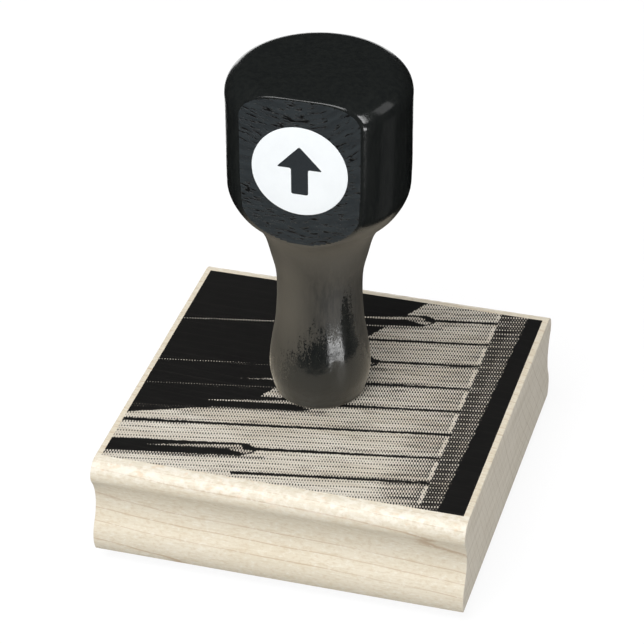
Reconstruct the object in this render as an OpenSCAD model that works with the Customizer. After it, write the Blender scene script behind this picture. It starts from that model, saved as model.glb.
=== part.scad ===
// Hand stamp: a moulded maple block with a turned, lacquered handle screwed on from below,
// a picture of the stamp's design on top of the block, and a rubber die on a foam cushion under it.
// Origin: centre of the die's face, on the surface that the stamp stands on. +Z up,
// X along the block's mouldings, -Y towards the flat on the handle's head.

/* [Block] */
// Length of the block along its mouldings
block_w = 78.8; // [70:0.1:110]
// Depth of the block over its two mouldings
block_d = 81.2; // [74:0.1:110]
// Thickness of the block
block_h = 21.7; // [20:0.1:30]
// Radius of the rounded lip along the top edges
lip_r = 3.2; // [2:0.1:4]
// Setback of the lip from the foot of the moulding
lip_setback = 0.2; // [0:0.1:1]
// How far the lip's round runs past the upright, in degrees
lip_wrap = 25; // [10:1:40]
// Depth of the finger groove
groove_depth = 2.5; // [2:0.1:3]
// Height of the groove's deepest line below the block's top
groove_drop = 10.2; // [9.5:0.1:11]
// Height of the foot moulding's widest line below the block's top
foot_drop = 18.6; // [18:0.1:19.5]

/* [Picture] */
// Width of the printed picture
picture_w = 76.2; // [60:0.1:78]
// Depth of the printed picture
picture_d = 73; // [60:0.1:74]
// Thickness of the clear film that carries the picture
film_t = 0.12; // [0.1:0.01:0.2]

/* [Handle] */
// Height of the handle above the film
handle_h = 76; // [74:0.5:84]
// Radius of the head
head_r = 18.9; // [18.2:0.1:20]
// Radius of the head's top edge
crown_r = 5.2; // [3:0.1:6]
// Radius of the edge round the handle's foot
foot_edge_r = 0.8; // [0.4:0.1:1.2]
// Distance of the head's flat from the handle's axis
flat_y = 13.8; // [13:0.1:15]
// Sideways place of the handle's axis on the block
handle_x = -2; // [-3:0.1:3]

/* [Badge] */
// Diameter of the round label on the head's flat
badge_d = 19.7; // [16:0.1:20]
// Thickness of the round label
badge_t = 0.15; // [0.1:0.01:0.3]
// Height of the label's centre above the film
badge_z = 60; // [58:0.5:62]

/* [Screw] */
// Diameter of the screw's head
screw_head_d = 8.4; // [7:0.1:9]
// Diameter of the screw's plain shank
screw_shank_d = 4.2; // [3.5:0.1:4.5]
// Diameter at the root of the thread
screw_root_d = 3; // [2.6:0.1:3.4]
// Length of the screw over its head
screw_l = 45; // [40:1:50]
// Pitch of the thread
screw_pitch = 2.4; // [2:0.1:3]
// Number of turns of thread
screw_turns = 10; // [6:1:11]
// Depth of the screw's head below the block's underside
screw_sink = 0.5; // [0.3:0.1:1]

/* [Cushion and die] */
// Width of the die and cushion
die_w = 76; // [60:0.1:76.2]
// Depth of the die and cushion
die_d = 70.4; // [60:0.1:71]
// Height of the raised design on the die
relief_h = 0.8; // [0.6:0.1:1.2]
// Thickness of the die behind its raised design
die_base_t = 1; // [0.8:0.1:1.5]
// Thickness of the foam cushion
cushion_t = 1.6; // [1.5:0.1:3.2]
// Thickness of each adhesive film
tape_t = 0.1; // [0.1:0.05:0.2]

/* [Hidden] */

// Heights of the layers, from the surface up
die_top = relief_h + die_base_t;
cushion_z = die_top + tape_t;
block_tape_z = cushion_z + cushion_t;
block_z = block_tape_z + tape_t;
film_z = block_z + block_h;
handle_z = film_z + film_t;

// Clearances and cuts
hole_d = screw_shank_d + 0.4;
head_cone_h = (screw_head_d - screw_shank_d) / 2;
pilot_l = 30;
cut = 1;
round_steps = 12;

// Points along an arc round [cx, cz], from angle a0 to a1
function arc(cx, cz, r, a0, a1, n = round_steps) =
    [for (i = [0:n]) let (a = a0 + (a1 - a0) * i / n) [cx + r * cos(a), cz + r * sin(a)]];

// A smooth curve through points, n steps between each pair
function spline(p, n) =
    [for (i = [0:len(p) - 2], s = [0:n - 1]) spline_at(p, i, s / n), p[len(p) - 1]];
function spline_at(p, i, t) =
    let (a = p[max(i - 1, 0)], b = p[i], c = p[i + 1], d = p[min(i + 2, len(p) - 1)])
    b + t / 2 * ((c - a) + t * ((2 * a - 5 * b + 4 * c - d) + t * (3 * b - a - 3 * c + d)));

// The moulding, in [distance in from its widest line, height over the block's top]:
// a round lip, a hollow groove that starts at a crease under it, and a round foot
// that runs on from the groove without a corner.
lip_c = [lip_setback + lip_r, -lip_r];
crease = lip_c + lip_r * [-cos(lip_wrap), -sin(lip_wrap)];
groove_r = (pow(groove_depth - crease[0], 2) + pow(groove_drop + crease[1], 2))
           / (2 * (groove_depth - crease[0]));
groove_c = [groove_depth - groove_r, -groove_drop];
foot_r = (pow(groove_c[0], 2) + pow(foot_drop - groove_drop, 2) - pow(groove_r, 2))
         / (2 * (groove_r + groove_c[0]));
foot_c = [foot_r, -foot_drop];
crease_angle = atan2(crease[1] - groove_c[1], crease[0] - groove_c[0]);
join_angle = atan2(foot_c[1] - groove_c[1], foot_c[0] - groove_c[0]);
base_angle = 180 + asin((block_h - foot_drop) / foot_r);
moulding = concat(
    arc(lip_c[0], lip_c[1], lip_r, 90, 180 + lip_wrap),
    arc(groove_c[0], groove_c[1], groove_r, crease_angle, join_angle),
    arc(foot_c[0], foot_c[1], foot_r, 180 + join_angle, base_angle));

// The handle's turned outline, in [radius, height over its foot], between
// the round of its foot and the round of its crown
waist = [[9.95, 2], [10.55, 5], [10.6, 8], [10.1, 12], [9.3, 17], [8.9, 23], [9.05, 29], [10.15, 34],
         [11.4, 38.5], [13.4, 42], [16.5, 45.3], [18.4, 49], [18.75, 53], [head_r, 58]];
foot_round_c = [9.55 - foot_edge_r, foot_edge_r];
crown_c = [head_r - crown_r, handle_h - crown_r];

// The design, in shares of the picture's width and depth from its front left corner:
// a plain piano keyboard that rises to the right, with its black keys in groups of
// two and three, the shadow of its fallboard behind them and the case at the right.
key_rise = 0.2;
key_pitch = 0.118;
first_gap = -0.06;
gap_w = 0.012;
gap_end = 0.88;
black_gaps = [1, 3, 4, 5, 7];
plain_gaps = [[0, 0.36], [2, 0], [6, 0.3]];
black_half = 0.03;
black_taper = 0.03;
shadow = [[0, 0.22], [0.3, 0.34], [0.66, 1], [0, 1]];
case_band = [[0.93, 0], [1, 0], [1, 1], [0.96, 1]];

// Place on the gap line k at u to the right, and v off the line
function on_gap(k, u, v = 0) = [u, first_gap + k * key_pitch + key_rise * u + v];
// Where the black key on the gap line k ends
function black_end(k) = 0.34 + 0.052 * k;

module moulding_outline() {
    half = block_d / 2;
    front = [for (p = moulding) [-half + p[0], block_h + p[1]]];
    back = [for (i = [len(moulding) - 1:-1:0]) [half - moulding[i][0], block_h + moulding[i][1]]];
    polygon(concat(front, back));
}

module wood_block() {
    color("#eadfc4")
    difference() {
        translate([-block_w / 2, 0, block_z])
        rotate([90, 0, 90])
        linear_extrude(block_w)
        moulding_outline();
        translate([handle_x, 0, block_z]) {
            translate([0, 0, -cut]) cylinder(d = hole_d, h = block_h + 2 * cut, $fn = 48);
            translate([0, 0, -cut]) cylinder(d = screw_head_d + 0.4, h = cut + screw_sink, $fn = 48);
            translate([0, 0, screw_sink])
            cylinder(d1 = screw_head_d + 0.4, d2 = hole_d, h = head_cone_h, $fn = 48);
        }
    }
}

module picture_film() {
    color("#3a3835")
    difference() {
        translate([-picture_w / 2, -picture_d / 2, film_z]) cube([picture_w, picture_d, film_t]);
        translate([handle_x, 0, film_z - cut]) cylinder(d = hole_d, h = film_t + 2 * cut, $fn = 48);
    }
}

module handle() {
    outline = concat(
        [[0, 0]],
        arc(foot_round_c[0], foot_round_c[1], foot_edge_r, -90, 0, 5),
        spline(waist, 4),
        arc(crown_c[0], crown_c[1], crown_r, 0, 90),
        [[0, handle_h]]);
    color("#15181a")
    translate([handle_x, 0, handle_z])
    difference() {
        rotate_extrude($fn = 96) polygon(outline);
        translate([-head_r - cut, -2 * head_r - flat_y, -cut])
        cube([2 * (head_r + cut), 2 * head_r, handle_h + 2 * cut]);
        translate([0, 0, -cut]) cylinder(d = screw_root_d, h = pilot_l + cut, $fn = 48);
    }
}

module handle_badge() {
    color("#fafafa")
    translate([handle_x, -flat_y, handle_z + badge_z])
    rotate([90, 0, 0])
    cylinder(d = badge_d, h = badge_t, $fn = 96);
}

module handle_screw() {
    thread_z = screw_l - screw_turns * screw_pitch - 4;
    thread = [for (i = [0:screw_turns - 1], step = [0:2])
        [(step == 1 ? screw_shank_d : screw_root_d) / 2, thread_z + (i + step / 4) * screw_pitch]];
    outline = concat(
        [[0, 0], [screw_head_d / 2, 0], [screw_shank_d / 2, head_cone_h],
         [screw_shank_d / 2, thread_z - 1]],
        thread,
        [[screw_root_d / 2, screw_l - 4], [0, screw_l]]);
    color("#b9b7ae")
    translate([handle_x, 0, block_z + screw_sink])
    difference() {
        rotate_extrude($fn = 48) polygon(outline);
        for (turn = [0, 90])
            rotate([0, 0, turn])
            translate([-screw_head_d / 3.4, -0.55, -cut])
            cube([2 * screw_head_d / 3.4, 1.1, cut + 1.3]);
    }
}

module layer(z, t) {
    translate([-die_w / 2, -die_d / 2, z]) cube([die_w, die_d, t]);
}

module block_tape() {
    color("#f4eeda") layer(block_tape_z, tape_t);
}

module foam_cushion() {
    color("#8d8f92") layer(cushion_z, cushion_t);
}

module die_tape() {
    color("#f4eeda") layer(die_top, tape_t);
}

// One raised island of the design, from its outline in shares of the picture
module island(points) {
    margin = 0.5;
    size = [die_w - 2 * margin, die_d - 2 * margin];
    linear_extrude(relief_h + die_base_t / 2)
    polygon([for (p = points) [(p[0] - 0.5) * size[0], (p[1] - 0.5) * size[1]]]);
}

// The gap between two white keys, on the gap line k from start to the case
module gap(k, start) {
    island([on_gap(k, start), on_gap(k, gap_end), on_gap(k, gap_end, gap_w), on_gap(k, start, gap_w)]);
}

module rubber_die() {
    color("#a8472f")
    union() {
        layer(relief_h, die_base_t);
        island(shadow);
        island(case_band);
        for (k = black_gaps) {
            island([on_gap(k, 0, -black_half), on_gap(k, black_end(k) - black_taper, -black_half),
                    on_gap(k, black_end(k), -black_half / 3), on_gap(k, black_end(k), black_half / 3),
                    on_gap(k, black_end(k) - black_taper, black_half), on_gap(k, 0, black_half)]);
            gap(k, black_end(k) - black_taper);
        }
        for (g = plain_gaps)
            gap(g[0], g[1]);
    }
}

wood_block();
picture_film();
handle();
handle_badge();
handle_screw();
block_tape();
foam_cushion();
die_tape();
rubber_die();
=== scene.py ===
import math

import bmesh
import bpy
import numpy as np
from mathutils import Matrix, Vector


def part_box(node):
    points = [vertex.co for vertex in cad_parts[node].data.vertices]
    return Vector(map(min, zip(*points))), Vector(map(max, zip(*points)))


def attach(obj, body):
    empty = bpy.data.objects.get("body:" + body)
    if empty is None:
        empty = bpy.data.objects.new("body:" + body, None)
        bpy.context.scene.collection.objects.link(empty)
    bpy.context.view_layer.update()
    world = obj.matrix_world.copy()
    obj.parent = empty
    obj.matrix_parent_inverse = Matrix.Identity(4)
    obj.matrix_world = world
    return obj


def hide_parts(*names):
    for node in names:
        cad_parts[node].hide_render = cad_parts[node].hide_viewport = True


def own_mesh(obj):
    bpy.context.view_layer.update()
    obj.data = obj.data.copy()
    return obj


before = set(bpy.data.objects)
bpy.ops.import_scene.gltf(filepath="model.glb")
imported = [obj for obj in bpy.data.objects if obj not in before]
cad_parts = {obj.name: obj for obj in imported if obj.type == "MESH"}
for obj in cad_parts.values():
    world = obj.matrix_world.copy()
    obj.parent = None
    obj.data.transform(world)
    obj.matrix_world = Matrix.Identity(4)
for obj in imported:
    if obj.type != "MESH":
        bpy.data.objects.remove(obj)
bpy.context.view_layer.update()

MM = 0.001

# ---------------------------------------------------------------- places from the CAD model, in mm


def node_box(name):
    low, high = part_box(name)
    return np.array(low) / MM, np.array(high) / MM


block_low, block_high = node_box("wood_block")
film_low, film_high = node_box("picture_film")
handle_low, handle_high = node_box("handle")
badge_low, badge_high = node_box("handle_badge")
foam_low, foam_high = node_box("foam_cushion")
HANDLE_X = (badge_low[0] + badge_high[0]) / 2

# ---------------------------------------------------------------- sizes repeated from the CAD source, in mm

LIP_R, LIP_SETBACK, LIP_WRAP = 3.2, 0.2, 25
GROOVE_DEPTH, GROOVE_DROP, FOOT_DROP = 2.5, 10.2, 18.6
HEAD_R, CROWN_R, FOOT_EDGE_R, FOOT_R, FLAT_Y = 18.9, 5.2, 0.8, 9.55, 13.8
WAIST = [(9.95, 2), (10.55, 5), (10.6, 8), (10.1, 12), (9.3, 17), (8.9, 23), (9.05, 29), (10.15, 34),
         (11.4, 38.5), (13.4, 42), (16.5, 45.3), (18.4, 49), (18.75, 53), (HEAD_R, 58)]
SHANK_D, PILOT_D, PILOT_L = 4.2, 3, 30
SCREW_HEAD_D, SCREW_SINK = 8.4, 0.5
HOLE_D = SHANK_D + 0.4


# ---------------------------------------------------------------- mesh helpers


def arc(centre, radius, start, end, steps):
    """Points on an arc, angles in degrees."""
    angles = np.radians(np.linspace(start, end, steps + 1))
    return np.stack([centre[0] + radius * np.cos(angles), centre[1] + radius * np.sin(angles)], 1)


def spline(points, steps):
    """The Catmull-Rom curve of the CAD source, with steps points for each of its spans."""
    p = np.array(points, float)
    out = []
    for i in range(len(p) - 1):
        a, b, c, d = p[max(i - 1, 0)], p[i], p[i + 1], p[min(i + 2, len(p) - 1)]
        for t in np.arange(steps) / steps:
            out.append(b + t / 2 * ((c - a) + t * ((2 * a - 5 * b + 4 * c - d) + t * (3 * b - a - 3 * c + d))))
    return np.array(out + [p[-1]])


def new_piece(name, verts_mm, faces, body, replaces=(), smooth=True):
    """A mesh object from points in mm in the row frame, riding on a CAD body."""
    mesh = bpy.data.meshes.new(name)
    mesh.from_pydata([tuple(v) for v in np.asarray(verts_mm, float) * MM], [], [tuple(f) for f in faces])
    mesh.validate()
    mesh.update()
    mesh.polygons.foreach_set("use_smooth", [smooth] * len(mesh.polygons))
    piece = bpy.data.objects.new(name, mesh)
    bpy.context.scene.collection.objects.link(piece)
    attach(piece, body)
    if replaces:
        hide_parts(*replaces)
    return piece


def cleaned(piece, merge_mm=0.002):
    """Merges doubled points and turns all faces outwards."""
    bm = bmesh.new()
    bm.from_mesh(piece.data)
    bmesh.ops.remove_doubles(bm, verts=bm.verts, dist=merge_mm * MM)
    bmesh.ops.recalc_face_normals(bm, faces=bm.faces)
    bm.to_mesh(piece.data)
    bm.free()
    piece.data.update()


def sharp_by_angle(piece, degrees):
    """Marks edges over an angle as sharp, so that smooth shading stops there."""
    bm = bmesh.new()
    bm.from_mesh(piece.data)
    for e in bm.edges:
        e.smooth = not (len(e.link_faces) == 2 and e.calc_face_angle() > math.radians(degrees))
    bm.to_mesh(piece.data)
    bm.free()


def cut_out(piece, cutter):
    """Takes a mesh object away from piece and removes it."""
    boolean = piece.modifiers.new("hole", "BOOLEAN")
    boolean.operation, boolean.object, boolean.solver = "DIFFERENCE", cutter, "EXACT"
    graph = bpy.context.evaluated_depsgraph_get()
    mesh = bpy.data.meshes.new_from_object(piece.evaluated_get(graph))
    piece.modifiers.clear()
    piece.data = mesh
    bpy.data.objects.remove(cutter)


def revolved(outline, angles, centre):
    """Points and faces of a closed outline (radius, height) turned round a vertical axis; angle 0 is -Y."""
    n, m = len(outline), len(angles)
    s, c = np.sin(angles), -np.cos(angles)
    points = np.zeros((n, m, 3))
    points[:, :, 0] = centre[0] + outline[:, :1] * s
    points[:, :, 1] = centre[1] + outline[:, :1] * c
    points[:, :, 2] = centre[2] + outline[:, 1:]
    faces = [(i * m + j, i * m + (j + 1) % m, (i + 1) * m + (j + 1) % m, (i + 1) * m + j)
             for i in range(n - 1) for j in range(m)]
    return points.reshape(-1, 3), faces


def smoothstep(x):
    x = np.clip(x, 0, 1)
    return x * x * (3 - 2 * x)


def value_noise(points, cell, seed):
    """Smooth random values from -1 to 1 over the plane, one lattice point each cell."""
    lattice = np.random.default_rng(seed).uniform(-1, 1, (257, 257))
    q = np.asarray(points, float) / cell
    base = np.floor(q).astype(int)
    f = smoothstep(q - base)
    x, y = base[..., 0] % 256, base[..., 1] % 256
    low = lattice[x, y] * (1 - f[..., 0]) + lattice[x + 1, y] * f[..., 0]
    high = lattice[x, y + 1] * (1 - f[..., 0]) + lattice[x + 1, y + 1] * f[..., 0]
    return low * (1 - f[..., 1]) + high * f[..., 1]


# ---------------------------------------------------------------- material helpers


def linear(rgb):
    """A colour given as 0-255 screen values, in the renderer's linear values."""
    out = []
    for c in rgb:
        c = c / 255
        out.append(c / 12.92 if c <= 0.04045 else ((c + 0.055) / 1.055) ** 2.4)
    return (*out, 1.0)


class Shade:
    """A node material around one Principled shader. Places come in mm, in the piece's own frame."""

    def __init__(self, name, **sockets):
        self.material = bpy.data.materials.new(name)
        self.material.use_nodes = True
        self.tree = self.material.node_tree
        self.tree.nodes.clear()
        output = self.tree.nodes.new("ShaderNodeOutputMaterial")
        self.shader = self.tree.nodes.new("ShaderNodeBsdfPrincipled")
        self.tree.links.new(self.shader.outputs[0], output.inputs[0])
        for key, value in sockets.items():
            self.shader.inputs[key.replace("_", " ")].default_value = value
        coordinates = self.tree.nodes.new("ShaderNodeTexCoord")
        self.place = self.vector("SCALE", coordinates.outputs["Object"], scale=1 / MM)

    def put(self, socket, value):
        if isinstance(value, bpy.types.NodeSocket):
            self.tree.links.new(value, socket)
        else:
            socket.default_value = value

    def set(self, **sockets):
        for key, value in sockets.items():
            self.put(self.shader.inputs[key.replace("_", " ")], value)

    def math(self, operation, *values):
        node = self.tree.nodes.new("ShaderNodeMath")
        node.operation = operation
        for socket, value in zip(node.inputs, values):
            self.put(socket, value)
        return node.outputs[0]

    def vector(self, operation, *values, scale=None):
        node = self.tree.nodes.new("ShaderNodeVectorMath")
        node.operation = operation
        for socket, value in zip(node.inputs, values):
            self.put(socket, value)
        if scale is not None:
            node.inputs["Scale"].default_value = scale
        return node.outputs["Value"] if operation in ("LENGTH", "DOT_PRODUCT", "DISTANCE") else node.outputs["Vector"]

    def axes(self, place=None):
        node = self.tree.nodes.new("ShaderNodeSeparateXYZ")
        self.put(node.inputs[0], self.place if place is None else place)
        return node.outputs

    def joined(self, x, y, z):
        node = self.tree.nodes.new("ShaderNodeCombineXYZ")
        for socket, value in zip(node.inputs, (x, y, z)):
            self.put(socket, value)
        return node.outputs[0]

    def stretched(self, x, y, z, place=None):
        """Places multiplied by these factors, for a pattern that is longer along some axes."""
        return self.vector("MULTIPLY", self.place if place is None else place, (x, y, z))

    def noise(self, place, scale=1.0, detail=2.0, roughness=0.5):
        node = self.tree.nodes.new("ShaderNodeTexNoise")
        self.put(node.inputs["Vector"], place)
        for key, value in (("Scale", scale), ("Detail", detail), ("Roughness", roughness)):
            node.inputs[key].default_value = value
        return node.outputs[0]

    def cells(self, place, scale):
        node = self.tree.nodes.new("ShaderNodeTexVoronoi")
        self.put(node.inputs["Vector"], place)
        node.inputs["Scale"].default_value = scale
        return node.outputs["Distance"]

    def span(self, value, low, high, to_low=0.0, to_high=1.0):
        """A smooth step from to_low, where value is at low, to to_high, where it is at high."""
        node = self.tree.nodes.new("ShaderNodeMapRange")
        node.interpolation_type = "SMOOTHSTEP"
        for socket, v in zip(node.inputs, (value, low, high, to_low, to_high)):
            self.put(socket, v)
        return node.outputs[0]

    def mix(self, share, a, b):
        """The colour a, with this share of it replaced by b."""
        node = self.tree.nodes.new("ShaderNodeMix")
        node.data_type = "RGBA"
        self.put(node.inputs[0], share)
        self.put(node.inputs[6], a)
        self.put(node.inputs[7], b)
        return node.outputs[2]

    def blend(self, share, a, b):
        """The number a, with this share of it replaced by b."""
        node = self.tree.nodes.new("ShaderNodeMix")
        node.data_type = "FLOAT"
        for socket, value in zip(node.inputs[0:1] + node.inputs[2:4], (share, a, b)):
            self.put(socket, value)
        return node.outputs[0]

    def attribute(self, name):
        node = self.tree.nodes.new("ShaderNodeAttribute")
        node.attribute_name = name
        return node.outputs["Fac"]

    def bump(self, height, depth_mm, strength):
        node = self.tree.nodes.new("ShaderNodeBump")
        node.inputs["Strength"].default_value = strength
        node.inputs["Distance"].default_value = depth_mm * MM
        self.put(node.inputs["Height"], height)
        return node.outputs[0]

    def waves(self, phase):
        """A cosine of phase in turns, from 0 to 1."""
        turned = self.math("MULTIPLY", phase, 2 * math.pi)
        return self.math("MULTIPLY_ADD", self.math("COSINE", turned), 0.5, 0.5)


def dressed(piece, *shades):
    piece.data.materials.clear()
    for shade in shades:
        piece.data.materials.append(shade.material)


# ---------------------------------------------------------------- maple


# Where the tree's heart lies from the block's centre, and how far apart its rings are
HEART_Y, HEART_Z = 190.0, 145.0
RING_MM = 2.1
GRAIN_FALL = 0.074  # how far the grain falls for each mm to the right


def maple_parts(s):
    """Ring lines, fibres and flecks of maple whose grain runs along X."""
    x, y, z = s.axes()
    wander = s.noise(s.stretched(0.014, 0.03, 0.03), 1.0, 1.0)
    ripple = s.noise(s.stretched(0.06, 0.3, 0.3), 1.0, 2.0)
    dy = s.math("SUBTRACT", y, HEART_Y)
    dz = s.math("SUBTRACT", s.math("MULTIPLY_ADD", x, GRAIN_FALL, z), HEART_Z)
    radius = s.math("SQRT", s.math("ADD", s.math("MULTIPLY", dy, dy), s.math("MULTIPLY", dz, dz)))
    radius = s.math("ADD", radius, s.math("MULTIPLY", wander, 3.2))
    radius = s.math("ADD", radius, s.math("MULTIPLY", ripple, 0.6))
    uneven = s.noise(s.joined(s.math("MULTIPLY", radius, 0.2), 0, 0), 1.0, 2.0)
    radius = s.math("ADD", radius, s.math("MULTIPLY", uneven, 3.5))
    turn = s.math("FRACT", s.math("DIVIDE", radius, RING_MM))
    line = s.math("MAXIMUM", s.span(turn, 0.0, 0.07, 1.0, 0.0), s.span(turn, 0.965, 1.0))
    band = s.span(turn, 0.55, 1.0)
    fibre = s.noise(s.stretched(0.22, 3.6, 3.6), 1.0, 3.0, 0.6)
    fleck = s.noise(s.stretched(0.9, 1.9, 1.9), 1.0, 2.0, 0.6)
    cloud = s.noise(s.stretched(0.05, 0.16, 0.16), 1.0, 3.0)
    return line, band, fibre, fleck, cloud


def build_maple():
    """Planed maple: pale, with thin brown ring lines and flecks; the sawn ends are duller and darker, partly end
    grain and partly painted shade, and the front lip has painted glare.
    """
    s = Shade("maple", Specular_IOR_Level=0.5)
    line, band, fibre, fleck, cloud = maple_parts(s)
    blotch = s.noise(s.stretched(0.55, 0.8, 0.8), 1.0, 2.0, 0.6)
    patchy = s.math("MULTIPLY", line, s.span(cloud, 0.3, 0.55, 0.45, 1.0))
    colour = s.mix(s.span(cloud, 0.35, 0.7, 0.0, 0.5), linear((220, 211, 192)), linear((213, 202, 179)))
    colour = s.mix(s.math("MULTIPLY", band, 0.12), colour, linear((205, 190, 164)))
    colour = s.mix(s.math("MULTIPLY", patchy, 0.62), colour, linear((176, 142, 108)))
    colour = s.mix(s.span(fibre, 0.45, 0.75, 0.0, 0.3), colour, linear((188, 169, 140)))
    colour = s.mix(s.span(fleck, 0.52, 0.68, 0.0, 0.36), colour, linear((196, 176, 146)))
    colour = s.mix(s.span(fleck, 0.46, 0.3, 0.0, 0.45), colour, linear((230, 226, 214)))
    geometry = s.tree.nodes.new("ShaderNodeNewGeometry")
    across_end = s.math("ABSOLUTE", s.axes(geometry.outputs["True Normal"])[0])
    end = s.span(across_end, 0.6, 0.95)
    saw = s.noise(s.stretched(1.0, 0.09, 1.6), 1.0, 3.0, 0.6)
    # the sawn ends get a duller, darker colour: partly end grain, partly painted shade
    end_grain_and_shade = s.mix(s.span(saw, 0.35, 0.7), linear((222, 214, 199)), linear((209, 200, 183)))
    end_grain_and_shade = s.mix(s.math("MULTIPLY", line, 0.5), end_grain_and_shade, linear((172, 156, 137)))
    colour = s.mix(s.math("MULTIPLY", end, 0.94), colour, end_grain_and_shade)
    shine = s.span(blotch, 0.42, 0.6)
    # the front lip gets whiter patches of painted glare, and small rusty specks
    _, y, z = s.axes()
    top, front = float(block_high[2]), float(block_low[1])
    lip = s.math("MULTIPLY", s.span(z, top - 3.6, top - 1.6), s.span(y, front + 5.0, front + 3.5))
    lip = s.math("MULTIPLY", lip, s.math("SUBTRACT", 1.0, end))
    painted_glare = s.noise(s.stretched(0.5, 0.6, 0.6), 1.0, 3.0, 0.6)
    rust = s.noise(s.stretched(0.45, 0.6, 0.6), 1.0, 2.0, 0.6)
    # painted highlight: whiter patches of glare on the front lip
    colour = s.mix(s.math("MULTIPLY", lip, s.span(painted_glare, 0.42, 0.6, 0.1, 0.5)), colour, linear((242, 238, 228)))
    colour = s.mix(s.math("MULTIPLY", lip, s.span(rust, 0.56, 0.7, 0.0, 0.3)), colour, linear((222, 186, 146)))
    height = s.math("ADD", s.math("MULTIPLY", fibre, 0.7), s.math("MULTIPLY", line, 0.4))
    height = s.math("ADD", height, s.math("MULTIPLY", blotch, 1.6))
    height = s.blend(end, height, s.math("MULTIPLY", saw, 0.5))
    s.set(Base_Color=colour, Roughness=s.blend(s.math("MULTIPLY", shine, s.math("SUBTRACT", 1.0, end)), 0.62, 0.3),
          Normal=s.bump(height, 0.05, 0.6))
    return s


wood = build_maple()

# ---------------------------------------------------------------- the moulded block


def moulding_points(steps=28):
    """The moulding's outline: distance in from its widest line, and height over the block's top."""
    height = block_high[2] - block_low[2]
    lip = np.array([LIP_SETBACK + LIP_R, -LIP_R])
    wrap = math.radians(LIP_WRAP)
    crease = lip + LIP_R * np.array([-math.cos(wrap), -math.sin(wrap)])
    rise = GROOVE_DEPTH - crease[0]
    groove_r = (rise ** 2 + (GROOVE_DROP + crease[1]) ** 2) / (2 * rise)
    groove = np.array([GROOVE_DEPTH - groove_r, -GROOVE_DROP])
    foot_r = (groove[0] ** 2 + (FOOT_DROP - GROOVE_DROP) ** 2 - groove_r ** 2) / (2 * (groove_r + groove[0]))
    foot = np.array([foot_r, -FOOT_DROP])
    angle = lambda a, b: math.degrees(math.atan2(b[1] - a[1], b[0] - a[0]))
    join = angle(groove, foot)
    base = 180 + math.degrees(math.asin((height - FOOT_DROP) / foot_r))
    return np.concatenate([
        arc(lip, LIP_R, 90, 180 + LIP_WRAP, steps),
        arc(groove, groove_r, angle(groove, crease), join, steps)[1:],
        arc(foot, foot_r, 180 + join, base, steps)[1:]])


def build_block():
    """The moulding swept along X, with its end edges eased and the screw's hole through it."""
    ease, ease_steps = 0.22, 3
    side = moulding_points()
    half = (block_high[1] - block_low[1]) / 2
    top = block_high[2]
    front = np.stack([-half + side[:, 0], top + side[:, 1]], 1)
    back = np.stack([half - side[::-1, 0], top + side[::-1, 1]], 1)
    loop = np.concatenate([back, front])
    ahead = np.roll(loop, -1, 0) - loop
    behind = loop - np.roll(loop, 1, 0)
    unit = lambda v: v / np.maximum(np.linalg.norm(v, axis=1, keepdims=True), 1e-9)
    tangent = unit(unit(ahead) + unit(behind))
    inward = np.stack([-tangent[:, 1], tangent[:, 0]], 1)
    centre = loop.mean(0)
    if ((centre - loop) * inward).sum(1).mean() < 0:
        inward = -inward
    sections = []
    for end in (-1, 1):
        steps = np.linspace(0, math.pi / 2, ease_steps + 1)
        if end > 0:
            steps = steps[::-1]
        for t in steps:
            shrink = ease * (1 - math.sin(t))
            x = end * (block_high[0] - ease * (1 - math.cos(t)))
            sections.append((x, loop + inward * shrink))
    inner = np.linspace(-1, 1, 9)[1:-1] * (block_high[0] - 2)
    sections = sections[:ease_steps + 1] + [(x, loop) for x in inner] + sections[ease_steps + 1:]
    n = len(loop)
    verts = np.concatenate([np.column_stack([np.full(n, x), ring]) for x, ring in sections])
    faces = [(k * n + i, k * n + (i + 1) % n, (k + 1) * n + (i + 1) % n, (k + 1) * n + i)
             for k in range(len(sections) - 1) for i in range(n)]
    faces += [tuple(range(n))[::-1], tuple(range((len(sections) - 1) * n, len(sections) * n))]
    block = new_piece("moulded_block", verts, faces, "block", ["wood_block"])
    cleaned(block)
    sink_r, hole_r = SCREW_HEAD_D / 2 + 0.2, HOLE_D / 2
    through = block_high[2] - block_low[2] + 1
    bore = np.array([[0, -1], [sink_r, -1], [sink_r, SCREW_SINK],
                     [hole_r, SCREW_SINK + (SCREW_HEAD_D - SHANK_D) / 2], [hole_r, through], [0, through]])
    points, cutter_faces = revolved(bore, np.linspace(0, 2 * math.pi, 49)[:-1], (HANDLE_X, 0, block_low[2]))
    cutter = new_piece("cutter", points, cutter_faces, "block")
    cleaned(cutter)
    cut_out(block, cutter)
    sharp_by_angle(block, 30)
    dressed(block, wood)


build_block()

# ---------------------------------------------------------------- the printed picture

# The design, in shares of the picture's width and depth from its front left corner: a plain piano
# keyboard that rises to the right, as in the CAD source, with the shadow of its fallboard behind
# and the case at the right. Each shape is its outline, how much ink it holds, and how soft its edge is.
PALE, SOLID = 0.3, 1.15
CRISP, SOFT, HAZY = 0.004, 0.02, 0.06
KEYS, KEY_RISE, KEY_PITCH, FIRST_GAP, GAP_W, GAP_END = 8, 0.2, 0.118, -0.06, 0.012, 0.88
BLACK_GAPS, BLACK_HALF, BLACK_TAPER = [1, 3, 4, 5, 7], 0.03, 0.03
BLACK_END, BLACK_END_STEP = 0.34, 0.052  # where the black key on gap 0 would end, and how much farther each next
PLAIN_GAPS = [(0, 0.36), (2, -0.01), (6, 0.3)]  # gaps with no black key on them, and where each starts
KEY_FRONT_END = 0.915
PAST = 0.02  # how far shapes run past the picture's edges
DOT_MM, ROW_MM, ROW_SLOPE = 0.59, 1.62, 11.5  # the halftone's steps along and across its rows, and their slope


def on_gap(k, across, off=0.0):
    """A place on the line between two white keys, moved off it to the back."""
    return across, FIRST_GAP + k * KEY_PITCH + KEY_RISE * across + off


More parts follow.
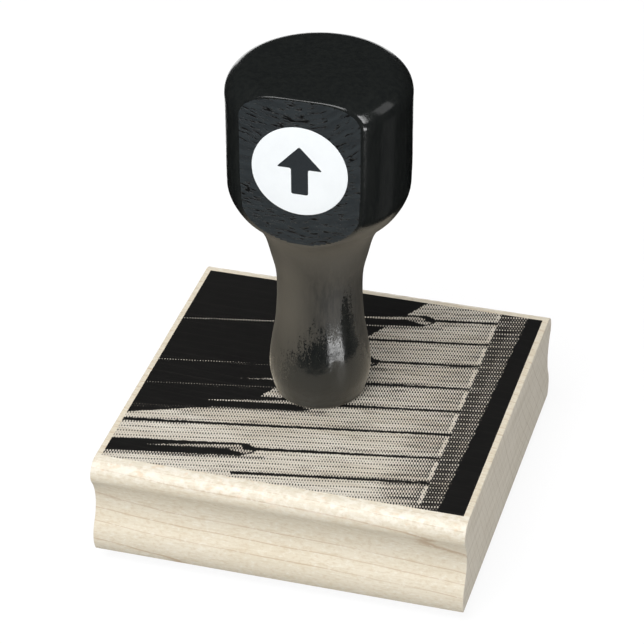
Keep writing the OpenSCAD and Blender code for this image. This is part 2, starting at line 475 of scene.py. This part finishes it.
def strip(k, start, end, low, high_start, high_end=None):
    """The outline of a thin bar along a key."""
    high_end = high_start if high_end is None else high_end
    return [on_gap(k, start, low), on_gap(k, end, low), on_gap(k, end, high_end), on_gap(k, start, high_start)]


def picture_shapes():
    """All the picture's shapes, each over the ones before it."""
    shapes = [
        # the soft shade of the case over the keys' far ends
        ([(0.76, -PAST), (0.84, 1 + PAST), (1 + PAST, 1 + PAST), (1 + PAST, -PAST)], 0.5, HAZY * 2),
        ([(0.86, -PAST), (0.9, 1 + PAST), (1 + PAST, 1 + PAST), (1 + PAST, -PAST)], 0.66, HAZY),
        ([(-PAST, 0.212), (0, 0.22), (0.3, 0.34), (0.66, 1), (0.67, 1 + PAST), (-PAST, 1 + PAST)], SOLID, CRISP)]
    for k in range(KEYS):
        # a faint shade on each white key, just behind the gap
        shapes.append((strip(k, 0.3, GAP_END, GAP_W, 0.018, 0.03), 0.44, SOFT))
    for k in BLACK_GAPS:
        end = BLACK_END + BLACK_END_STEP * k
        taper = end - BLACK_TAPER
        shapes.append((strip(k, -PAST, end + 0.03, -BLACK_HALF - 0.012, -BLACK_HALF), 0.62, SOFT))
        shapes.append(([on_gap(k, -PAST, -BLACK_HALF), on_gap(k, taper, -BLACK_HALF),
                        on_gap(k, end, -BLACK_HALF / 3), on_gap(k, end, BLACK_HALF / 3),
                        on_gap(k, taper, BLACK_HALF), on_gap(k, -PAST, BLACK_HALF)], SOLID, CRISP))
        # the shine along the black key's back and down its end
        shapes.append((strip(k, end - 0.3, taper - 0.02, 0.002, 0.006, 0.024), 0.48, CRISP))
        shapes.append(([on_gap(k, taper - 0.02, 0.024), on_gap(k, taper - 0.05, 0.002), on_gap(k, end - 0.02, -0.022),
                        on_gap(k, end - 0.004, -0.006)], 0.5, CRISP))
        shapes.append((strip(k, taper, GAP_END, 0, GAP_W, GAP_W * 0.6), SOLID, CRISP))
    for k, start in PLAIN_GAPS:
        shapes.append((strip(k, start, GAP_END, 0, GAP_W, GAP_W * 0.6), SOLID, CRISP))
    # the keys' front faces, in shade, and the case
    for k in range(-1, KEYS + 1):
        shapes.append((strip(k, GAP_END, KEY_FRONT_END, GAP_W * 0.6, KEY_PITCH - 0.004), 0.72, CRISP))
        shapes.append((strip(k, 0.87, GAP_END, 0.02, KEY_PITCH - 0.012), PALE, CRISP))
    shapes.append(([(0.93, -PAST), (1 + PAST, -PAST), (1 + PAST, 1 + PAST), (0.96, 1 + PAST)], SOLID, CRISP))
    return shapes


def cover(points, outline, softness):
    """How far inside a closed outline each point is, from 0 to 1 across the soft edge."""
    ring = np.array(outline, float)
    inside = np.zeros(len(points), bool)
    nearest = np.full(len(points), 1e9)
    for a, b in zip(ring, np.roll(ring, -1, 0)):
        ab = b - a
        t = np.clip(((points - a) @ ab) / max(ab @ ab, 1e-12), 0, 1)
        nearest = np.minimum(nearest, np.linalg.norm(points - a - t[:, None] * ab, axis=1))
        crosses = (a[1] > points[:, 1]) != (b[1] > points[:, 1])
        slope = ab[0] / (ab[1] if abs(ab[1]) > 1e-12 else 1e-12)
        inside ^= crosses & (points[:, 0] < a[0] + slope * (points[:, 1] - a[1]))
    return smoothstep(0.5 + np.where(inside, nearest, -nearest) / softness)


def ink_shares(share):
    """The ink at each place of the picture, from about PALE to SOLID."""
    ragged = 0.0016 * np.stack([value_noise(share, 0.007, 3), value_noise(share + 7.1, 0.007, 4)], 1)
    wavy = share + ragged
    ink = PALE + 0.15 * smoothstep((share[:, 1] - 0.12) / 0.45) - 0.03 * smoothstep((share[:, 1] - 0.6) / 0.3)
    ink += 0.03 * value_noise(share * [1, 4], 0.12, 5)
    for outline, tone, softness in picture_shapes():
        at = cover(wavy, outline, softness)
        ink = ink * (1 - at) + tone * at
    return ink


def build_picture():
    """A fine sheet with the ink as an attribute of its points."""
    step = 0.28
    size = film_high - film_low
    columns, rows = (int(round(size[i] / step)) + 1 for i in (0, 1))
    xs = np.linspace(film_low[0], film_high[0], columns)
    ys = np.linspace(film_low[1], film_high[1], rows)
    grid = np.stack(np.meshgrid(xs, ys, indexing="ij"), -1).reshape(-1, 2)
    top = np.column_stack([grid, np.full(len(grid), film_high[2])])
    at = lambda i, j: i * rows + j
    faces = [(at(i, j), at(i + 1, j), at(i + 1, j + 1), at(i, j + 1))
             for i in range(columns - 1) for j in range(rows - 1)]
    rim = [at(i, 0) for i in range(columns)] + [at(columns - 1, j) for j in range(1, rows)]
    rim += [at(i, rows - 1) for i in range(columns - 2, -1, -1)] + [at(0, j) for j in range(rows - 2, 0, -1)]
    base = len(top)
    bottom = top[rim].copy()
    bottom[:, 2] = film_low[2]
    n = len(rim)
    faces += [(rim[(k + 1) % n], rim[k], base + k, base + (k + 1) % n) for k in range(n)]
    faces.append(tuple(base + k for k in range(n))[::-1])
    picture = new_piece("printed_picture", np.concatenate([top, bottom]), faces, "block",
                        ["picture_film"], smooth=False)
    share = (np.concatenate([grid, bottom[:, :2]]) - film_low[:2]) / size[:2]
    ink = picture.data.attributes.new("ink", "FLOAT", "POINT")
    ink.data.foreach_set("value", ink_shares(share).astype(np.float32))
    return picture


def print_shade():
    """Black halftone over the maple: staggered fine dots, in rows, that swell with the ink."""
    s = Shade("printed_maple", Specular_IOR_Level=0.35, Roughness=0.5)
    line, _, fibre, _, cloud = maple_parts(s)
    paper = s.mix(s.span(cloud, 0.3, 0.7), linear((214, 208, 196)), linear((203, 195, 180)))
    paper = s.mix(s.math("MULTIPLY", line, 0.45), paper, linear((150, 134, 112)))
    paper = s.mix(s.span(fibre, 0.4, 0.7, 0.0, 0.4), paper, linear((170, 159, 140)))
    slope = math.radians(ROW_SLOPE)
    along = s.vector("DOT_PRODUCT", s.place, (math.cos(slope), math.sin(slope), 0))
    across = s.vector("DOT_PRODUCT", s.place, (-math.sin(slope), math.cos(slope), 0))
    bend = s.noise(s.stretched(0.02, 0.05, 0), 1.0, 1.0)
    across = s.math("ADD", across, s.math("MULTIPLY", bend, 1.2))
    dot = s.math("DIVIDE", along, DOT_MM)
    row = s.math("DIVIDE", across, ROW_MM)
    first = s.waves(s.math("ADD", dot, row))
    second = s.waves(s.math("SUBTRACT", dot, row))
    screen = s.math("ADD", s.math("MULTIPLY", s.math("ADD", first, second), 0.385),
                    s.math("MULTIPLY", s.waves(row), 0.23))
    scratch = s.noise(s.joined(s.math("MULTIPLY", along, 0.09), s.math("MULTIPLY", across, 1.5), 0), 1.0, 3.0, 0.65)
    ink = s.math("ADD", s.attribute("ink"), s.span(scratch, 0.5, 0.72, 0.0, 0.24))
    covered = s.span(s.math("SUBTRACT", ink, screen), -0.1, 0.1)
    black = s.mix(s.math("MULTIPLY", line, 0.5), linear((18, 17, 16)), linear((38, 36, 33)))
    black = s.mix(s.span(fibre, 0.45, 0.7, 0.0, 0.5), black, linear((30, 29, 27)))
    s.set(Base_Color=s.mix(covered, paper, black),
          Roughness=s.blend(covered, 0.62, 0.5),
          Normal=s.bump(s.math("ADD", s.math("MULTIPLY", fibre, 0.5), s.math("MULTIPLY", line, 0.4)), 0.03, 0.4))
    return s


picture = build_picture()
dressed(picture, print_shade())
# A liberty: only the camera sees the print. The handle mirrors the lit bare maple under it instead.
picture.visible_glossy = picture.visible_shadow = picture.visible_diffuse = False

# ---------------------------------------------------------------- the turned handle


def handle_outline():
    """The handle's turned outline (radius, height), from the pilot hole's end round to the crown's middle."""
    height = handle_high[2] - handle_low[2]
    waist = spline(WAIST, 9)
    crown = arc((HEAD_R - CROWN_R, height - CROWN_R), CROWN_R, 0, 90, 40)
    side = np.column_stack([np.full(9, HEAD_R), np.linspace(58, height - CROWN_R, 10)[1:]])
    cap = np.column_stack([np.linspace(HEAD_R - CROWN_R, 0, 14)[1:], np.full(13, height)])
    return np.concatenate([
        [(0, PILOT_L + 0.9), (PILOT_D / 2, PILOT_L), (PILOT_D / 2, PILOT_L / 2), (PILOT_D / 2, 0), (5, 0)],
        arc((FOOT_R - FOOT_EDGE_R, FOOT_EDGE_R), FOOT_EDGE_R, -90, 0, 8), waist, side[:-1], crown, cap])


def distance_to_outline(points, outline):
    """Signed distance of (radius, height) points from the outline, below 0 inside."""
    best = np.full(len(points), 1e9)
    sign = np.ones(len(points))
    for a, b in zip(outline[:-1], outline[1:]):
        ab = b - a
        length = np.linalg.norm(ab)
        if length < 1e-9:
            continue
        t = np.clip(((points - a) @ ab) / length ** 2, 0, 1)
        off = points - a - t[:, None] * ab
        far = np.linalg.norm(off, axis=1)
        near = far < best - 1e-9
        best[near] = far[near]
        sign[near] = np.sign(off[near] @ np.array([ab[1], -ab[0]]))
    return best * sign


def build_handle():
    """The turning with a flat planed on its head. The flat's edge is rounded over."""
    rounding = 0.56
    outline = handle_outline()
    # closer together in front, and closest where the flat meets the round head
    half = np.concatenate([np.arange(0, 39, 0.75), np.arange(39, 47, 0.4), np.arange(47, 180, 1.9)])
    angles = np.radians(np.concatenate([half, [180], -half[:0:-1]]))
    points, faces = revolved(outline, angles, (0, 0, 0))
    points[:, 1] = np.maximum(points[:, 1], -FLAT_Y)
    outside = outline[(outline[:, 0] > PILOT_D / 2 + 0.01) | (outline[:, 1] > PILOT_L + 10)]
    moving = np.where((points[:, 2] > 38) & (points[:, 1] < -FLAT_Y + 6))[0]

    def surface(p):
        turned = distance_to_outline(np.column_stack([np.hypot(p[:, 0], p[:, 1]), p[:, 2]]), outside)
        flat = -FLAT_Y - p[:, 1]
        overlap = np.maximum(rounding - np.abs(turned - flat), 0) / rounding
        return np.maximum(turned, flat) + overlap ** 2 * rounding / 4

    # the head's points near the flat go onto the rounded surface, in three Newton steps
    p, step = points[moving], 0.01
    for _ in range(3):
        value = surface(p)
        slope = np.stack([(surface(p + step * axis) - value) / step for axis in np.eye(3)], 1)
        p = p - slope * (value / np.maximum((slope ** 2).sum(1), 1e-6))[:, None]
    points[moving] = p
    points += [HANDLE_X, 0, handle_low[2]]
    handle = new_piece("turned_handle", points, faces, "block", ["handle"])
    cleaned(handle, 0.004)
    sharp_by_angle(handle, 50)
    return handle


# Heights over the handle's foot between which the matt band with its painted sheen comes in, and between which it
# goes out again
MATT_SHEEN_STARTS, MATT_SHEEN_ENDS = (17.5, 21.0), (50.0, 44.0)


def lacquer():
    """Black lacquer over turned wood, glossy on the head and the foot, matt on the neck, where a dull brownish colour
    is painted reflection of the pale maple.
    """
    s = Shade("black_lacquer", IOR=1.5)
    x, y, z = s.axes()
    peel = s.noise(s.place, 0.55, 2.0, 0.5)
    streak = s.noise(s.stretched(1.1, 1.1, 0.28), 1.0, 3.0, 0.6)
    fine = s.noise(s.stretched(5, 5, 1.6), 1.0, 2.0, 0.6)
    # the matt band with its painted reflection starts above the foot in streaks, comes lower on two sides and starts
    # higher on a narrow run of gloss
    up = s.math("SUBTRACT", z, float(handle_low[2]))
    outward = s.vector("NORMALIZE", s.joined(s.math("SUBTRACT", x, HANDLE_X), y, 0))
    gloss_azimuth = math.radians(31)
    facing = s.vector("DOT_PRODUCT", outward, (math.sin(gloss_azimuth), -math.cos(gloss_azimuth), 0))
    side = s.math("SUBTRACT", 1.0, s.math("MULTIPLY", facing, facing))
    run_azimuth = math.radians(57)
    on_run = s.vector("DOT_PRODUCT", outward, (math.sin(run_azimuth), -math.cos(run_azimuth), 0))
    brush = s.noise(s.stretched(1.2, 1.2, 0.24), 1.0, 3.0, 0.7)
    speckle = s.noise(s.stretched(3.4, 3.4, 2.2), 1.0, 3.0, 0.7)
    level = s.math("ADD", up, s.math("MULTIPLY", side, 12.0))
    level = s.math("SUBTRACT", level, s.math("MULTIPLY", s.span(on_run, 0.965, 1.0), 10.0))
    level = s.math("ADD", level, s.math("MULTIPLY_ADD", brush, 18.0, -9.0))
    level = s.math("ADD", level, s.math("MULTIPLY_ADD", speckle, 24.0, -12.0))
    matt_painted_sheen = s.math("MULTIPLY", s.span(level, *MATT_SHEEN_STARTS), s.span(up, *MATT_SHEEN_ENDS))
    # painted reflection: the matt band's colour is made lighter towards the left and higher up, as painted sheen
    painted_light_azimuth = math.radians(-60)
    toward_painted_light = s.vector("DOT_PRODUCT", outward, (math.sin(painted_light_azimuth), -math.cos(painted_light_azimuth), 0))
    thick = s.math("MULTIPLY", s.span(toward_painted_light, 0.1, 1.0), s.span(up, 10.0, 24.0, 0.45, 1.0))
    thick = s.math("MAXIMUM", thick, s.span(up, 26.0, 42.0, 0.0, 0.9))
    glossy = s.mix(s.span(streak, 0.3, 0.7), linear((25, 27, 27)), linear((31, 33, 32)))
    painted_sheen_colour = s.mix(thick, linear((35, 35, 32)), linear((85, 81, 72)))
    painted_sheen_colour = s.mix(s.span(brush, 0.35, 0.7, 0.0, 0.3), painted_sheen_colour, linear((80, 76, 68)))
    height = s.math("ADD", s.math("MULTIPLY", peel, 0.6), s.math("MULTIPLY", streak, 0.5))
    height = s.math("MULTIPLY", height, s.span(up, 40.0, 52.0, 1.0, 0.4))
    height = s.math("ADD", height, s.math("MULTIPLY", fine, 0.06))
    s.set(Base_Color=s.mix(matt_painted_sheen, glossy, painted_sheen_colour),
          Roughness=s.blend(matt_painted_sheen, s.span(fine, 0.25, 0.75, 0.1, 0.2), 0.58),
          Normal=s.bump(height, 0.12, 0.5))
    return s


def flat_shade():
    """The planed flat: thinner lacquer that sinks into open pores and shows the rings."""
    s = Shade("lacquer_on_flat", IOR=1.5)
    x = s.axes()[0]
    bend = s.noise(s.stretched(0.06, 0.06, 0.06), 1.0, 2.0)
    around = s.vector("SUBTRACT", s.place, (HANDLE_X - 2, 0, float(handle_high[2]) + 12))
    ring = s.math("ADD", s.vector("LENGTH", s.vector("MULTIPLY", around, (1, 0, 1))), s.math("MULTIPLY", bend, 6.0))
    arcs = s.noise(s.joined(s.math("MULTIPLY", ring, 0.9), 0, s.math("MULTIPLY", x, 0.16)), 1.0, 2.0, 0.6)
    pores = s.noise(s.joined(s.math("MULTIPLY", ring, 2.2), s.math("MULTIPLY", x, 0.42), 0), 1.0, 2.0, 0.6)
    crowd = s.noise(s.place, 0.16, 2.0)
    pits = s.span(s.math("MULTIPLY_ADD", crowd, 0.3, pores), 0.71, 0.78)
    grain = s.noise(s.place, 1.5, 3.0, 0.6)
    colour = s.mix(s.span(arcs, 0.35, 0.65), linear((40, 45, 48)), linear((47, 53, 56)))
    colour = s.mix(pits, colour, linear((9, 10, 11)))
    height = s.math("SUBTRACT", s.math("ADD", s.math("MULTIPLY", arcs, 0.2), s.math("MULTIPLY", grain, 0.8)),
                    s.math("MULTIPLY", pits, 0.9))
    s.set(Base_Color=colour, Roughness=s.span(grain, 0.3, 0.7, 0.34, 0.48), Normal=s.bump(height, 0.12, 0.7))
    return s


handle = build_handle()
dressed(handle, lacquer(), flat_shade())
flat_line = (-FLAT_Y + 0.06) * MM
for polygon in handle.data.polygons:
    if polygon.normal.y < -0.99 and polygon.center.y < flat_line:
        polygon.material_index = 1

# ---------------------------------------------------------------- the label


def build_label():
    """A round vinyl label with a rounded-over edge."""
    radius = (badge_high[0] - badge_low[0]) / 2
    thick = badge_high[1] - badge_low[1]
    edge = arc((radius - thick * 0.6, thick * 0.4), thick * 0.6, 0, 90, 5)
    outline = np.concatenate([[(0, 0), (radius, 0)], edge, [(radius * 0.6, thick), (0, thick)]])
    points, faces = revolved(outline, np.linspace(0, 2 * math.pi, 129)[:-1], (0, 0, 0))
    centre = (badge_low + badge_high) / 2
    turned = np.stack([centre[0] + points[:, 0], badge_high[1] - points[:, 2], centre[2] + points[:, 1]], 1)
    label = new_piece("round_label", turned, faces, "block", ["handle_badge"])
    cleaned(label)
    sharp_by_angle(label, 50)
    s = Shade("white_vinyl", IOR=1.5)
    weave = s.noise(s.place, 3.0, 3.0, 0.6)
    soil = s.noise(s.place, 0.25, 3.0, 0.6)
    s.set(Base_Color=s.mix(s.span(soil, 0.35, 0.75), linear((240, 244, 246)), linear((237, 241, 243))),
          Roughness=s.span(weave, 0.3, 0.7, 0.3, 0.4), Normal=s.bump(weave, 0.01, 0.4))
    dressed(label, s)


def build_mark():
    """A plain arrow printed on the label, to show which side of the design is up."""
    thick = 0.012
    shape = np.array([(0, 5.6), (4.7, 0.6), (1.75, 0.6), (1.75, -5.2), (-1.75, -5.2), (-1.75, 0.6), (-4.7, 0.6)])
    corner = 0.5
    rounded = []
    for a, b, c in zip(np.roll(shape, 1, 0), shape, np.roll(shape, -1, 0)):
        to_a, to_c = (a - b) / np.linalg.norm(a - b), (c - b) / np.linalg.norm(c - b)
        start, end = b + to_a * corner, b + to_c * corner
        for t in np.linspace(0, 1, 6):
            rounded.append((1 - t) ** 2 * start + 2 * t * (1 - t) * b + t * t * end)
    ring = np.array(rounded)
    centre = (badge_low + badge_high) / 2
    n = len(ring)
    layers = [np.column_stack([centre[0] + ring[:, 0], np.full(n, badge_low[1] + 0.001 - y), centre[2] + ring[:, 1]])
              for y in (0, thick)]
    faces = [(i, (i + 1) % n, n + (i + 1) % n, n + i) for i in range(n)]
    faces += [tuple(range(n))[::-1], tuple(range(n, 2 * n))]
    mark = new_piece("label_mark", np.concatenate(layers), faces, "block", smooth=False)
    cleaned(mark)
    s = Shade("label_ink", IOR=1.5)
    speck = s.noise(s.place, 4.0, 3.0, 0.6)
    s.set(Base_Color=s.mix(s.span(speck, 0.3, 0.7), linear((38, 43, 47)), linear((48, 53, 57))),
          Roughness=s.span(speck, 0.3, 0.7, 0.32, 0.42), Normal=s.bump(speck, 0.006, 0.4))
    dressed(mark, s)


build_label()
build_mark()

# ---------------------------------------------------------------- cushion, tapes, die and screw


def build_foam():
    """The foam cushion: a slab cut from sheet, its open cells showing along the cut sides."""
    inset, layers = 0.06, 9
    low, high = foam_low + [inset, inset, 0], foam_high - [inset, inset, 0]
    step = 0.3
    nx, ny = int((high[0] - low[0]) / step), int((high[1] - low[1]) / step)
    side = lambda a, b, n: np.linspace(a, b, n + 1)[:-1]
    ring = np.concatenate([
        np.column_stack([side(low[0], high[0], nx), np.full(nx, low[1])]),
        np.column_stack([np.full(ny, high[0]), side(low[1], high[1], ny)]),
        np.column_stack([side(high[0], low[0], nx), np.full(nx, high[1])]),
        np.column_stack([np.full(ny, low[0]), side(high[1], low[1], ny)])])
    centre = (low + high)[:2] / 2
    inward = -np.sign(ring - centre) * (np.abs(ring - centre) > (high - low)[:2] / 2 - 1e-6)
    n = len(ring)
    run = np.arange(n) * step
    rings = []
    for k, z in enumerate(np.linspace(low[2], high[2], layers)):
        waist = math.sin(math.pi * k / (layers - 1))
        pores = value_noise(np.column_stack([run, np.full(n, z * 1.3)]), 0.45, 11)
        depth = 0.16 * waist + 0.1 * np.maximum(pores, 0) * (0.3 + waist)
        rings.append(np.column_stack([ring + inward * depth[:, None], np.full(n, z)]))
    faces = [(k * n + i, k * n + (i + 1) % n, (k + 1) * n + (i + 1) % n, (k + 1) * n + i)
             for k in range(layers - 1) for i in range(n)]
    faces += [tuple(range(n))[::-1], tuple(range((layers - 1) * n, layers * n))]
    foam = new_piece("foam_slab", np.concatenate(rings), faces, "block", ["foam_cushion"])
    cleaned(foam)
    sharp_by_angle(foam, 60)
    s = Shade("grey_foam", Roughness=0.9, Specular_IOR_Level=0.2)
    cells = s.cells(s.place, 3.2)
    small = s.cells(s.place, 7.5)
    tint = s.noise(s.place, 0.12, 3.0)
    painted_cell_shade = s.span(cells, 0.1, 0.55, 1.0, 0.0)
    colour = s.mix(s.span(tint, 0.3, 0.7), linear((142, 144, 147)), linear((128, 130, 134)))
    # painted shade: the foam's open cells are darkened where the dents lie
    colour = s.mix(s.math("MULTIPLY", painted_cell_shade, 0.55), colour, linear((70, 71, 74)))
    s.set(Base_Color=colour,
          Normal=s.bump(s.math("ADD", s.math("MULTIPLY", cells, 0.7), s.math("MULTIPLY", small, 0.3)), 0.25, 0.9))
    dressed(foam, s)
    return foam


foam = build_foam()
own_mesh(foam)


def adhesive_shade():
    s = Shade("adhesive_film", IOR=1.46)
    fibres = s.noise(s.stretched(2.5, 0.5, 1), 1.0, 3.0, 0.6)
    blotch = s.noise(s.place, 0.15, 3.0)
    s.set(Base_Color=s.mix(s.span(blotch, 0.3, 0.7), linear((243, 236, 214)), linear((228, 217, 188))),
          Roughness=s.span(fibres, 0.3, 0.7, 0.28, 0.5), Normal=s.bump(fibres, 0.02, 0.5))
    return s


def rubber_shade():
    """Laser-cut rubber: matt, fine-grained where it was burnt away, a little darker on its printing face."""
    s = Shade("engraved_rubber", Specular_IOR_Level=0.3)
    z = s.axes()[2]
    grain = s.noise(s.place, 6.0, 3.0, 0.6)
    scan = s.noise(s.stretched(0.35, 7.0, 7.0), 1.0, 2.0)
    cloud = s.noise(s.place, 0.09, 3.0)
    face = s.span(z, 0.3, 0.02)
    colour = s.mix(s.span(cloud, 0.3, 0.7), linear((172, 78, 52)), linear((152, 64, 44)))
    colour = s.mix(s.math("MULTIPLY", s.span(scan, 0.4, 0.7), s.math("SUBTRACT", 1.0, face)), colour,
                   linear((120, 56, 42)))
    colour = s.mix(s.math("MULTIPLY", face, s.span(grain, 0.35, 0.7, 0.1, 0.5)), colour, linear((110, 42, 30)))
    s.set(Base_Color=colour, Roughness=s.span(grain, 0.3, 0.7, 0.6, 0.82),
          Normal=s.bump(s.math("ADD", s.math("MULTIPLY", grain, 0.4), s.math("MULTIPLY", scan, 0.6)), 0.08, 0.6))
    return s


def steel_shade():
    s = Shade("zinc_plated_steel", Metallic=1.0)
    z = s.axes()[2]
    turning = s.noise(s.joined(0, 0, s.math("MULTIPLY", z, 5.0)), 1.0, 2.0)
    spangle = s.noise(s.place, 1.4, 3.0, 0.6)
    s.set(Base_Color=s.mix(s.span(spangle, 0.3, 0.7), linear((192, 190, 182)), linear((160, 158, 150))),
          Roughness=s.span(spangle, 0.3, 0.7, 0.24, 0.42),
          Normal=s.bump(s.math("ADD", turning, s.math("MULTIPLY", spangle, 0.3)), 0.03, 0.5))
    return s


adhesive = adhesive_shade()
for name, shade in (("block_tape", adhesive), ("die_tape", adhesive), ("rubber_die", rubber_shade()),
                    ("handle_screw", steel_shade())):
    dressed(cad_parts[name], shade)

# ---------------------------------------------------------------- floor, light and camera


STUDIO = 6.0  # half the floor's width and the height of the walls, in m
FLOOR_CORNERS = [(-STUDIO, -STUDIO, 0), (STUDIO, -STUDIO, 0), (STUDIO, STUDIO, 0), (-STUDIO, STUDIO, 0)]
WALL_TOPS = [(x, y, STUDIO) for x, y, _ in FLOOR_CORNERS]
WALLS = [(i, (i + 1) % 4, 4 + (i + 1) % 4, 4 + i) for i in range(4)]


def stage_piece(name, corners, faces, glow, seen):
    """A white floor or wall that is either seen, or only lights the object."""
    mesh = bpy.data.meshes.new(name)
    mesh.from_pydata(corners, [], faces)
    floor = bpy.data.objects.new(name, mesh)
    bpy.context.scene.collection.objects.link(floor)
    material = bpy.data.materials.new(name)
    material.use_nodes = True
    shader = material.node_tree.nodes["Principled BSDF"]
    shader.inputs["Base Color"].default_value = (0.2, 0.2, 0.2, 1)
    shader.inputs["Roughness"].default_value = 0.9
    shader.inputs["Emission Color"].default_value = (1, 1, 1, 1)
    shader.inputs["Emission Strength"].default_value = glow
    mesh.materials.append(material)
    floor.visible_glossy = floor.visible_shadow = False
    floor.visible_camera, floor.visible_diffuse = seen, not seen


def softbox(name, azimuth, elevation, distance, size, power, aim, diffuse=True):
    """An area light that looks at aim, from an azimuth (0 in front, 90 at the right) and elevation."""
    lamp = bpy.data.lights.new(name, "AREA")
    lamp.shape = "RECTANGLE"
    lamp.size, lamp.size_y = size
    lamp.energy = power
    a, e = math.radians(azimuth), math.radians(elevation)
    back = Vector((math.sin(a) * math.cos(e), -math.cos(a) * math.cos(e), math.sin(e)))
    light = bpy.data.objects.new(name, lamp)
    light.location = Vector(aim) + back * distance
    light.rotation_mode = "QUATERNION"
    light.rotation_quaternion = back.to_track_quat("Z", "Y")
    light.visible_diffuse = diffuse
    bpy.context.scene.collection.objects.link(light)


def build_world():
    world = bpy.data.worlds.new("studio")
    bpy.context.scene.world = world
    world.use_nodes = True
    sky = world.node_tree.nodes["Background"]
    sky.inputs["Color"].default_value = (1, 1, 1, 1)
    sky.inputs["Strength"].default_value = 0.66
    world.cycles_visibility.glossy = False


def build_camera():
    """The camera of the photograph: a long lens, a little to the right of the flat and looking down."""
    width_mm, focal_px, frame_px = 78.76, 2874.0, 644
    azimuth, elevation, roll = (math.radians(v) for v in (16.13, 33.48, -0.27))
    distance, aim = 7.988, (-0.1048, 0.2938)
    a, e = azimuth, elevation
    back = Vector((math.sin(a) * math.cos(e), -math.cos(a) * math.cos(e), math.sin(e)))
    right = Vector((math.cos(a), math.sin(a), 0))
    up = back.cross(right)
    right, up = (math.cos(roll) * right + math.sin(roll) * up, -math.sin(roll) * right + math.cos(roll) * up)
    data = bpy.data.cameras.new("camera")
    data.sensor_width = 36.0
    data.lens = focal_px / frame_px * data.sensor_width
    data.clip_start, data.clip_end = 0.01, 50
    camera = bpy.data.objects.new("camera", data)
    target = Vector((aim[0] * width_mm * MM, aim[1] * width_mm * MM, float(block_high[2]) * MM))
    place = target + back * distance * width_mm * MM
    camera.matrix_world = Matrix.Translation(place) @ Matrix((right, up, back)).transposed().to_4x4()
    bpy.context.scene.collection.objects.link(camera)
    bpy.context.scene.camera = camera


stage_piece("floor", FLOOR_CORNERS, [(0, 1, 2, 3)], 0.8, True)
stage_piece("floor_bounce", FLOOR_CORNERS, [(0, 1, 2, 3)], 0.5, False)
stage_piece("walls", FLOOR_CORNERS + WALL_TOPS, WALLS, 1.0, True)
build_world()
build_camera()
middle = (0, 0, 0.04)
head = (0, 0, 0.085)
softbox("key", -14, 56, 1.2, (0.8, 0.8), 11.4, middle)
softbox("right_panel", 53, -19, 2.0, (1.2, 0.32), 12.0, (0, 0, 0.037), diffuse=False)
softbox("right_low_glow", 108, -31, 0.6, (0.2, 0.3), 0.018, head, diffuse=False)
softbox("corner_box", 62, 22, 0.7, (0.24, 0.4), 2.6, head, diffuse=False)
softbox("crown_box", 104, 24, 0.7, (0.3, 0.3), 0.3, head, diffuse=False)
softbox("back_glow", 200, -14, 0.8, (0.5, 0.5), 1.6, head, diffuse=False)
bpy.context.scene.view_settings.view_transform = "Standard"
